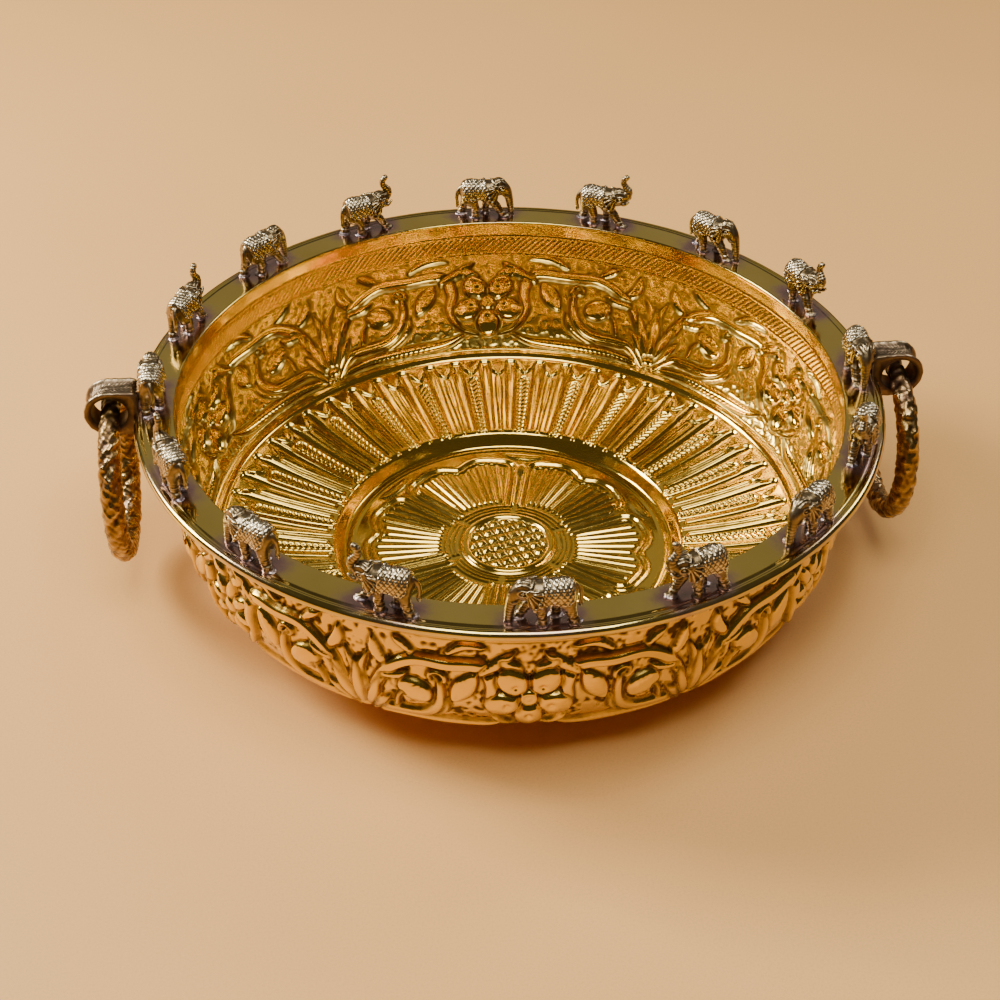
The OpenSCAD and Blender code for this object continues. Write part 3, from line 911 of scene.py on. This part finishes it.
# --------------------------------------------------------------------- lugs
def lug(name, sign, node, seed):
    """Strap bent to a D loop: outline of the loop's middle line, swept with a lipped section."""
    ro = LUG_BORE + LUG_T
    path = []
    xb = RIM_R - 2.2 - LUG_X                    # flat back, let into the brim's edge
    c = 3.2
    hi = ro
    for a in np.linspace(math.radians(90), math.radians(-90), 60):
        path.append((ro * math.cos(a), ro * math.sin(a)))
    for x in np.linspace(0, xb + c, 8)[1:]:
        path.append((x, -hi))
    for a in np.linspace(math.radians(-90), math.radians(-180), 10)[1:]:
        path.append((xb + c + c * math.cos(a), -hi + c + c * math.sin(a)))
    for z in np.linspace(-hi + c, hi - c, 14)[1:]:
        path.append((xb, z))
    for a in np.linspace(math.radians(180), math.radians(90), 10)[1:]:
        path.append((xb + c + c * math.cos(a), hi - c + c * math.sin(a)))
    for x in np.linspace(xb + c, 0, 8)[1:-1]:
        path.append((x, hi))
    p = np.array(path)
    s = np.concatenate([[0], np.cumsum(np.hypot(*np.diff(np.vstack([p, p[:1]]), axis=0).T))])
    n = 220
    t = np.linspace(0, s[-1], n, endpoint=False)
    q = np.vstack([p, p[:1]])
    px, pz = np.interp(t, s, q[:, 0]), np.interp(t, s, q[:, 1])
    ang = np.arctan2(pz, px)
    # inside of the loop: a true circle where the ring runs
    rin = LUG_BORE
    ix, iz = rin * np.cos(ang), rin * np.sin(ang)
    nrm = np.hypot(px, pz)
    nx, nz = px / nrm, pz / nrm
    hw = LUG_W / 2
    # section across the strap, outer face then inner face
    yo = np.concatenate([[-hw, -hw + 0.25, -hw + 0.9, -hw + 1.6, -hw + 2.3, -hw + 2.9], np.linspace(-hw + 3.4, hw - 3.4, 30), [hw - 2.9, hw - 2.3, hw - 1.6, hw - 0.9, hw - 0.25, hw]])
    lip = 0.75 * (np.exp(-((np.abs(yo) - hw + 1.25) / 0.85) ** 2)) - 0.5 * smooth(hw - 0.45, hw, np.abs(yo))
    rng = np.random.default_rng(seed)
    TT, YY = np.meshgrid(t, yo, indexing="ij")
    tex = sum(a * np.sin(kk * TAU * TT / s[-1] + m * YY + pp) for kk, m, a, pp in
              zip(rng.integers(4, 26, 10), rng.uniform(-1.6, 1.6, 10), rng.uniform(0.03, 0.07, 10), rng.uniform(0, 6.28, 10)))
    # chased leaf along the strap: slanted strokes from a middle vein
    leafy = np.abs(np.sin(TAU * (TT + 1.1 * np.abs(YY)) / 3.6)) * smooth(hw - 2.6, hw - 3.4, np.abs(YY))
    vein = np.exp(-(YY / 0.5) ** 2)
    bell = 1.75 * smooth(hw - 5.0, hw - 0.7, np.abs(YY)) ** 1.3
    out = lip[None, :] * 0.6 - 1.05 + bell + 0.30 * leafy - 0.25 * vein + 0.6 * tex
    high_o = np.clip(0.32 + 0.9 * lip[None, :] + 0.45 * (leafy - 0.5) + 0.15 * bell, 0, 1)
    X = px[:, None] + nx[:, None] * out
    Z = pz[:, None] + nz[:, None] * out
    yi = np.linspace(hw - 0.4, -hw + 0.4, 14)
    flare = 0.25 * smooth(hw - 2, hw, np.abs(yi))
    XI = ix[:, None] + nx[:, None] * flare[None, :]
    ZI = iz[:, None] + nz[:, None] * flare[None, :]
    Yi = np.broadcast_to(yi, XI.shape)
    x = np.concatenate([X, XI], 1)
    y = np.concatenate([YY, Yi], 1)
    z = np.concatenate([Z, ZI], 1)
    hh = np.concatenate([high_o, np.full(XI.shape, 0.12)], 1)
    co = np.stack([LUG_X + x, y, LUG_Z + z], -1).reshape(-1, 3)
    if sign < 0:
        co[:, :2] *= -1
    nv = x.shape[1]
    i = np.arange(n)[:, None]
    j = np.arange(nv)[None, :]
    f = np.stack([i * nv + j, ((i + 1) % n) * nv + j, ((i + 1) % n) * nv + (j + 1) % nv, i * nv + (j + 1) % nv], -1).reshape(-1, 4)
    ob = make_mesh(name, co * MM, f, M_LUG, "root", attrs={"high": hh.ravel()})
    fix_normals(ob)
    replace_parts(ob, node)


lug("lug_right_strap", 1, "lug_right", 11)
lug("lug_left_strap", -1, "lug_left", 12)


# ---------------------------------------------------------------- elephants
def surface_net(D, origin, h):
    """Quads round the zero level of a distance grid."""
    nx, ny, nz = D.shape
    neg = D < 0
    c = np.zeros((nx - 1, ny - 1, nz - 1), bool)
    cnt = np.zeros(c.shape, np.float32)
    acc = np.zeros(c.shape + (3,), np.float32)
    corner = [(i, j, k) for i in (0, 1) for j in (0, 1) for k in (0, 1)]

    def part(a, i, j, k):
        return a[i:nx - 1 + i, j:ny - 1 + j, k:nz - 1 + k]
    for ax in range(3):
        for p in corner:
            if p[ax]:
                continue
            q = list(p)
            q[ax] = 1
            A, B = part(D, *p), part(D, *q)
            cross = (A < 0) != (B < 0)
            w = np.where(cross, A / np.where(cross, A - B, 1), 0)
            for m in range(3):
                acc[..., m] += np.where(cross, p[m] + (w if m == ax else 0), 0)
            cnt += cross
    c = cnt > 0
    idx = -np.ones(c.shape, np.int64)
    idx[c] = np.arange(c.sum())
    loc = np.argwhere(c)
    verts = (loc + acc[c] / cnt[c][:, None]) * h + origin
    faces = []
    for ax in range(3):
        s0 = [slice(None)] * 3
        s1 = [slice(None)] * 3
        s0[ax], s1[ax] = slice(0, -1), slice(1, None)
        A, B = neg[tuple(s0)], neg[tuple(s1)]
        e = np.argwhere(A != B)
        o1, o2 = [m for m in range(3) if m != ax]
        e = e[(e[:, o1] > 0) & (e[:, o2] > 0) & (e[:, o1] < D.shape[o1] - 1) & (e[:, o2] < D.shape[o2] - 1)]
        d1 = np.zeros(3, int)
        d2 = np.zeros(3, int)
        d1[o1] = 1
        d2[o2] = 1
        q = np.stack([idx[tuple(e.T)], idx[tuple((e - d1).T)], idx[tuple((e - d1 - d2).T)], idx[tuple((e - d2).T)]], -1)
        out = A[tuple(e.T)]
        flip = ~out if ax != 1 else out
        q = np.where(flip[:, None], q[:, ::-1], q)
        faces.append(q)
    return verts, np.concatenate(faces)


def sculpt(up, h=0.30):
    """One elephant, walking along +X with its feet on z = 0, as verts, quads and two masks."""
    lo = np.array([-17.5, -8.4, -0.75])
    hi = np.array([17.5, 8.4, 31.5 if up else 23.5])
    n = np.ceil((hi - lo) / h).astype(int)
    ax = [lo[i] + h * np.arange(n[i]) for i in range(3)]
    X, Y, Z = np.meshgrid(*ax, indexing="ij", sparse=True)
    X, Y, Z = (v.astype(np.float32) for v in (X, Y, Z))
    aY = np.abs(Y)

    def cap(a, b, ra, rb, y=None):
        yy = Y if y is None else y
        d = np.subtract(b, a).astype(float)
        t = np.clip(((X - a[0]) * d[0] + (yy - a[1]) * d[1] + (Z - a[2]) * d[2]) / (d @ d), 0, 1)
        return np.sqrt((X - a[0] - t * d[0]) ** 2 + (yy - a[1] - t * d[1]) ** 2 + (Z - a[2] - t * d[2]) ** 2) - (ra + (rb - ra) * t)

    def ell(c, r, y=None, tilt=0.0):
        yy = (Y if y is None else y) - c[1]
        ca, sa = math.cos(tilt), math.sin(tilt)
        x, z = (X - c[0]) * ca + (Z - c[2]) * sa, -(X - c[0]) * sa + (Z - c[2]) * ca
        k0 = np.sqrt((x / r[0]) ** 2 + (yy / r[1]) ** 2 + (z / r[2]) ** 2)
        k1 = np.sqrt((x / r[0] ** 2) ** 2 + (yy / r[1] ** 2) ** 2 + (z / r[2] ** 2) ** 2) + 1e-6
        return k0 * (k0 - 1) / k1

    def smin(a, b, k):
        t = np.clip(0.5 + 0.5 * (b - a) / k, 0, 1)
        return b + (a - b) * t - k * t * (1 - t)

    def chain(pts, rad, y=None, k=0.5):
        out = None
        rad = np.interp(np.linspace(0, 1, len(pts)), np.linspace(0, 1, len(rad)), rad)
        for i in range(len(pts) - 1):
            d = cap(pts[i], pts[i + 1], rad[i], rad[i + 1], y)
            out = d if out is None else smin(out, d, k)
        return out

    def path(pts, m):
        return spline(np.array(pts, float), m)

    hz = -0.4 if up else 0.0
    body = smin(ell((-7.2, 0, 14.7), (6.6, 5.2, 6.0)), ell((0.4, 0, 14.4), (7.2, 5.5, 5.7)), 2.2)
    head = smin(ell((7.6, 0, 16.6 + hz), (4.6, 3.7, 4.5)), ell((8.2, 0, 19.2 + hz), (2.9, 2.9, 2.3)), 1.2)
    head = smin(head, cap((8.6, 1.6, 14.4 + hz), (10.8, 1.0, 14.0 + hz), 1.8, 1.4, aY), 1.2)
    body = smin(body, cap((2.2, 0, 15.0), (6.6, 0, 16.0 + hz), 4.7, 4.1), 2.0)
    body = smin(body, head, 1.6)
    # haunches and shoulders
    body = smin(body, ell((-9.0, 3.0, 11.4), (3.6, 2.4, 4.6), aY, 0.15), 1.6)
    body = smin(body, ell((2.4, 3.0, 11.6), (3.4, 2.4, 4.4), aY, -0.1), 1.6)
    # legs
    for pts, rad in (
        ([(-9.4, 2.6, 11), (-10.6, 2.9, 5.4), (-12.0, 2.9, 1.6), (-12.2, 2.9, -0.6)], (3.1, 2.2, 1.95, 2.1)),
        ([(-7.0, -2.6, 11), (-5.0, -2.9, 5.6), (-5.0, -2.9, 1.6), (-4.8, -2.9, -0.6)], (3.1, 2.25, 1.95, 2.1)),
        ([(1.2, 2.4, 11), (1.4, 2.7, 5.6), (0.7, 2.8, 1.6), (0.6, 2.8, -0.6)], (2.8, 2.15, 1.85, 2.0)),
        ([(3.2, -2.4, 10.4), (6.4, -2.7, 6.6), (9.4, -2.7, 1.8), (10.6, -2.6, -0.4)], (2.7, 2.2, 1.8, 1.9)),
    ):
        body = smin(body, chain(pts, rad), 0.9)
    # toes
    for fx, fy in ((-12.2, 2.9), (-4.8, -2.9), (0.6, 2.8), (10.9, -2.6)):
        body = smin(body, ell((fx + 0.5, fy, 0.2), (2.5, 2.1, 1.5)), 0.5)
    # ear: a flat flap with a raised trailing edge
    flap = ell((4.3, 4.75, 14.0), (3.0, 1.0, 5.0), aY, 0.22)
    flap = smin(flap, ell((5.6, 4.3, 16.6), (2.5, 1.0, 2.6), aY), 0.9)
    body = smin(body, flap, 0.35)
    edge = chain(path([(0.2, 1.8, 20.0), (0.3, 4.4, 17.8), (1.5, 5.7, 14.2), (3.2, 5.9, 10.8), (4.9, 5.2, 8.4)], 12), [0.62] * 11 + [0.5], aY, 0.2)
    body = smin(body, edge, 0.30)
    crown = chain(path([(4.6, 0.0, 20.6), (5.4, 2.4, 19.8), (6.9, 4.0, 17.8), (7.4, 4.5, 15.0)], 9), [0.5] * 9, aY, 0.2)
    body = smin(body, crown, 0.35)
    # tail with a tuft
    tail = chain(path([(-12.6, -0.4, 17.0), (-14.4, -1.0, 14.2), (-15.0, -1.2, 11.0), (-14.7, -1.0, 8.2)], 10), list(np.linspace(1.05, 0.72, 10)))
    tail = smin(tail, ell((-14.7, -1.0, 7.2), (0.95, 0.95, 1.9)), 0.4)
    body = smin(body, tail, 0.55)
    if up:
        tp = path([(9.6, 0, 16.6), (12.6, 0, 18.0), (13.4, 0, 20.6), (11.6, 0, 22.8), (10.3, 0, 25.0), (10.9, 0, 27.4), (12.1, 0, 28.4)], 36)
        tr = list(np.interp(np.linspace(0, 1, 61), [0, 0.16, 0.35, 0.6, 0.93, 1], [3.2, 2.2, 1.65, 1.35, 1.15, 1.35]))
        jaw = cap((8.6, 0, 13.8), (12.8, 0, 13.2), 1.7, 0.75)
        tusk = chain(path([(9.4, 2.1, 14.0), (11.8, 2.6, 13.4), (14.2, 2.6, 15.4)], 8), list(np.linspace(1.0, 0.5, 8)), aY)
    else:
        tp = path([(9.8, 0, 16.6), (12.3, 0, 13.8), (13.6, 0, 9.2), (14.3, 0, 4.6), (14.6, 0, 0.9), (14.6, 0, -0.5)], 34)
        tr = list(np.interp(np.linspace(0, 1, 61), [0, 0.2, 0.45, 0.85, 1], [3.3, 2.5, 1.9, 1.3, 1.4]))
        jaw = cap((8.6, 0, 13.2), (10.6, 0, 11.8), 1.6, 0.8)
        tusk = chain(path([(9.6, 2.2, 13.8), (11.6, 2.5, 11.8), (13.6, 2.3, 11.6)], 7), list(np.linspace(0.85, 0.45, 7)), aY)
    trunk = chain(tp, tr)
    body = smin(body, jaw, 0.9)
    body = smin(body, trunk, 1.0)
    body = smin(body, tusk, 0.3)

    # ---- chased detail, taken off or put on the surface
    det = np.zeros(np.broadcast(X, Y, Z).shape, np.float32)
    wave = smooth(0, 1, np.abs(np.sin((X + 0.4) * 1.05)))
    hem = 9.9 + 0.8 * wave + 0.05 * (X + 5) ** 2
    side = smooth(hem - 0.15, hem + 0.25, Z) * smooth(-11.9, -11.4, X + 0.12 * (Z - 14)) * smooth(0.6, 0.1, X - 0.3 - 0.30 * (15 - Z) * (Z < 15)) * smooth(13, 15, 15 + 0 * X)
    u = (X * 0.80 + Z * 0.60) / 1.95
    v = (X * 0.80 - Z * 0.60 + aY * 0.35) / 1.95
    loz = np.minimum(np.abs(np.sin(math.pi * u)), np.abs(np.sin(math.pi * v)))
    det += side * (0.30 + 0.34 * smooth(0.08, 0.55, loz))
    rim = np.exp(-((Z - hem - 0.7) / 0.45) ** 2) * side
    det += 0.25 * rim
    # back: a bead row over the spine
    spine = np.exp(-(Y / 1.0) ** 2) * smooth(18, 19.5, Z) * smooth(1.0, -1.0, X) * smooth(-13, -12, X)
    det += 0.22 * spine * np.abs(np.sin(2.1 * X))
    # ear ribs fan from the top front corner to the trailing edge
    ra = np.arctan2(Z - 18.6, X - 7.6)
    rr = np.sqrt((Z - 18.6) ** 2 + (X - 7.6) ** 2)
    ear = smooth(4.2, 4.7, aY) * smooth(1.8, 3.0, rr) * smooth(11.5, 10.0, rr) * (X < 7.2) * (X > 1.0) * (Z > 8)
    det += ear * 0.32 * np.sin(ra * 19)
    # eye with a lid
    ex, ez = (9.2, 16.9 + hz)
    er = np.sqrt((X - ex) ** 2 + ((Z - ez) * 1.5) ** 2)
    eye = (aY > 2.0) & (X > 6.5)
    det += np.where(eye, 0.30 * np.exp(-(er / 0.55) ** 2) - 0.42 * np.exp(-((er - 1.15) / 0.38) ** 2) + 0.22 * np.exp(-((er - 1.9) / 0.4) ** 2), 0)
    # forehead strokes
    brow = smooth(17.6 + hz, 18.6 + hz, Z) * smooth(5.6, 6.4, X) * smooth(12, 11, X) * (Z < 22)
    det += 0.16 * brow * np.sin(4.2 * aY + 1.1 * X)
    # trunk wrinkles: the arc along the trunk
    tpa = np.array(tp)
    seg = np.concatenate([[0], np.cumsum(np.linalg.norm(np.diff(tpa, axis=0), axis=1))])
    best = np.full(det.shape, 1e9, np.float32)
    arc = np.zeros(det.shape, np.float32)
    for i in range(4, len(tp), 1):
        dd = (X - tpa[i, 0]) ** 2 + Y ** 2 + (Z - tpa[i, 2]) ** 2
        m = dd < best
        best = np.where(m, dd, best)
        # follow the position along the local direction for a smooth arc
        tdir = tpa[min(i + 1, len(tp) - 1)] - tpa[i - 1]
        tdir = tdir / np.linalg.norm(tdir)
        arc = np.where(m, seg[i] + (X - tpa[i, 0]) * tdir[0] + (Z - tpa[i, 2]) * tdir[2], arc)
    on = smooth(2.7 ** 2, 2.0 ** 2, best) * smooth(2.2, 3.4, arc)
    det += 0.24 * on * (np.abs(np.sin(arc * 2.15)) - 0.5)
    # leg engraving: bands of strokes and an anklet
    low = smooth(8.2, 7.2, Z) * (Z > 0.6) * (1 - on)
    strokes = np.sin(3.4 * Z + 1.6 * X) * np.sin(1.2 * X - 2.0 * Z)
    det += 0.20 * low * strokes * smooth(3.4, 4.2, Z)
    det += 0.26 * low * np.exp(-((Z - 2.7) / 0.35) ** 2) - 0.22 * low * np.exp(-((Z - 3.5) / 0.3) ** 2)
    det += -0.25 * smooth(1.6, 1.2, Z) * smooth(0.2, 0.6, Z) * (np.abs(np.sin(2.2 * aY + 0.6 * X)) < 0.25)
    # tail hairs
    hair = (X < -13.4) & (Z < 8.9)
    det += np.where(hair, 0.16 * np.sin(9 * Y + 2 * X), 0)
    D = body - det.astype(np.float32)
    # solder run out round the feet
    blob = None
    for fx, fy, r in ((-12.4, 2.6, 3.4), (-4.9, -2.7, 3.6), (0.6, 2.7, 3.1), (10.9, -2.3, 3.4)) + (() if up else ((14.6, 0.0, 2.1),)):
        b = ell((fx, fy * 0.9, -0.1), (r, r * 0.8, 0.95))
        blob = b if blob is None else smin(blob, b, 0.8)
    blob = blob - 0.16 * np.sin(1.7 * X + 0.4) * np.sin(1.9 * Y + 1.0)
    Ds = smin(D, blob, 0.55)
    Ds = np.maximum(Ds, -0.30 - Z)
    v, f = surface_net(Ds.astype(np.float32), lo, h)
    # masks read back at the vertices
    gi = np.clip(((v - lo) / h).round().astype(int), 0, np.array(det.shape) - 1)
    dv = det[gi[:, 0], gi[:, 1], gi[:, 2]]
    high = np.clip(0.28 + 0.95 * dv + 0.10 * smooth(12, 20, v[:, 2]), 0, 1)
    bv = blob[gi[:, 0], gi[:, 1], gi[:, 2]]
    sold = smooth(0.55, 0.0, bv) * smooth(3.4, 1.6, v[:, 2])
    return v, f, high, sold


def smooth_verts(v, f, rounds, lam=0.5):
    """Moves each vertex towards the middle of its neighbours."""
    e = np.concatenate([f[:, [0, 1]], f[:, [1, 2]], f[:, [2, 3]], f[:, [3, 0]]])
    cnt = np.bincount(e[:, 0], minlength=len(v)) + np.bincount(e[:, 1], minlength=len(v))
    for _ in range(rounds):
        for lm in (lam, -lam * 1.02):
            s = np.stack([np.bincount(e[:, 0], v[e[:, 1], k], len(v)) + np.bincount(e[:, 1], v[e[:, 0], k], len(v)) for k in range(3)], -1)
            v = v + lm * (s / np.maximum(cnt, 1)[:, None] - v)
    return v


SCULPTS = {}
for trunk_up in (False, True):
    v, f, hi_, so_ = sculpt(trunk_up)
    v = smooth_verts(v, f, 2)
    v[:, 2] = np.maximum(v[:, 2], -0.30)
    SCULPTS[trunk_up] = (v, f, hi_, so_)

herd_rng = np.random.default_rng(16)
for k in range(1, 17):
    v, f, hi_, so_ = SCULPTS[k % 2 == 0]
    a = math.radians(90 + HERD_TURN - 22.5 * (k - 1))
    # each casting was filed and soldered by hand: a hair off in turn and lean
    jit = herd_rng.normal(0, 1, 4)
    hd = a - math.pi / 2 + math.radians(0.9) * jit[0]
    sx, sz = 1 + 0.006 * jit[1], 1 + 0.008 * jit[2]
    lean = 0.012 * jit[3]
    p = v * np.array([sx, 1.0, sz])
    p[:, 1] += lean * np.maximum(p[:, 2], 0)
    c, s = math.cos(hd), math.sin(hd)
    w = np.stack([HERD_R * math.cos(a) + c * p[:, 0] - s * p[:, 1], HERD_R * math.sin(a) + s * p[:, 0] + c * p[:, 1], RIM_Z + p[:, 2]], -1)
    ob = make_mesh("elephant_%02d_cast" % k, w * MM, f, M_CAST, "root", attrs={"high": hi_, "solder": so_})
    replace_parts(ob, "elephant_%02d" % k)


# -------------------------------------------------------------------- stage
def mat_floor():
    M = Mat("pale_sand_floor")
    g = M.pos()
    p = g.outputs["Position"]
    big = M.noise(p, 2.2, 2, 0.5)
    speck = M.noise(p, 900, 2, 0.7)
    col = M.mix(M.rng(big, 0.35, 0.65, 0, 1), (0.87, 0.455, 0.128, 1), (0.91, 0.485, 0.142, 1))
    col = M.mix(M.rng(speck, 0.45, 0.75, 0, 0.22), col, (0.50, 0.25, 0.07, 1))
    b = M.bump(M.noise(p, 500, 3, 0.6), 0.10, 0.0006)
    return M.set(color=col, metal=0.0, rough=0.55, normal=b)


me = bpy.data.meshes.new("floor")
S = 6.0
me.from_pydata([(-S, -S, 0), (S, -S, 0), (S, S, 0), (-S, S, 0)], [], [(0, 1, 2, 3)])
floor = bpy.data.objects.new("floor", me)
bpy.context.scene.collection.objects.link(floor)
me.materials.append(mat_floor())


def lamp(name, at, aim, size, watts, color=(1, 1, 1), shape="RECTANGLE", spread=180):
    li = bpy.data.lights.new(name, "AREA")
    li.shape = shape
    li.size, li.size_y = size if isinstance(size, tuple) else (size, size)
    li.energy = watts
    li.color = color
    li.spread = math.radians(spread)
    ob = bpy.data.objects.new(name, li)
    ob.location = at
    d = Vector(aim) - Vector(at)
    ob.rotation_euler = d.to_track_quat("-Z", "Y").to_euler()
    bpy.context.scene.collection.objects.link(ob)
    return ob


lamp("softbox_left", (-1.25, 0.50, 0.95), (0, 0, 0.03), (0.55, 0.65), 38, (1.0, 0.98, 0.94))
lamp("softbox_right", (1.25, 0.75, 1.15), (0, 0, 0.03), (0.45, 0.50), 7, (1.0, 0.98, 0.94))
lamp("softbox_top", (0.0, -0.50, 1.60), (0, 0, 0.0), (1.05, 0.85), 23, (1.0, 0.985, 0.96))
# a wide dim card behind: what the flat brim and the floor of the bowl mirror
lamp("card_back", (0.0, 2.3, 1.75), (0, 0, 0.1), (3.4, 1.3), 3.4, (1.0, 0.92, 0.78))

world = bpy.data.worlds.new("studio")
bpy.context.scene.world = world
world.use_nodes = True
wt = world.node_tree
wt.nodes.clear()
wo = wt.nodes.new("ShaderNodeOutputWorld")
bg = wt.nodes.new("ShaderNodeBackground")
bg.inputs["Color"].default_value = (0.62, 0.54, 0.45, 1)
bg.inputs["Strength"].default_value = 0.11
wt.links.new(bg.outputs[0], wo.inputs[0])

# ------------------------------------------------------------------- camera
YC, ZC, YAW, PITCH, ROLL, F = 733.354, 498.188, -0.0058, 0.6583, 0.0063, 1.849815
fwd = Vector((math.sin(YAW) * math.cos(PITCH), math.cos(YAW) * math.cos(PITCH), -math.sin(PITCH)))
right = Vector((math.cos(YAW), -math.sin(YAW), 0))
up = right.cross(fwd)
r2 = right * math.cos(ROLL) + up * math.sin(ROLL)
u2 = -right * math.sin(ROLL) + up * math.cos(ROLL)
turn = Matrix.Rotation(math.radians(-6), 3, "Z")
cam_at = turn @ Vector((0, -YC, ZC)) + Vector((0, 0, RIM_Z))
rot = Matrix((turn @ r2, turn @ u2, -(turn @ fwd))).transposed()
cam = bpy.data.cameras.new("photo_camera")
cam.sensor_width = 36.0
cam.lens = F * 36.0
cam.clip_start = 0.02
cam.clip_end = 50
cam_ob = bpy.data.objects.new("photo_camera", cam)
cam_ob.matrix_world = Matrix.Translation(cam_at * MM) @ rot.to_4x4()
bpy.context.scene.collection.objects.link(cam_ob)
bpy.context.scene.camera = cam_ob
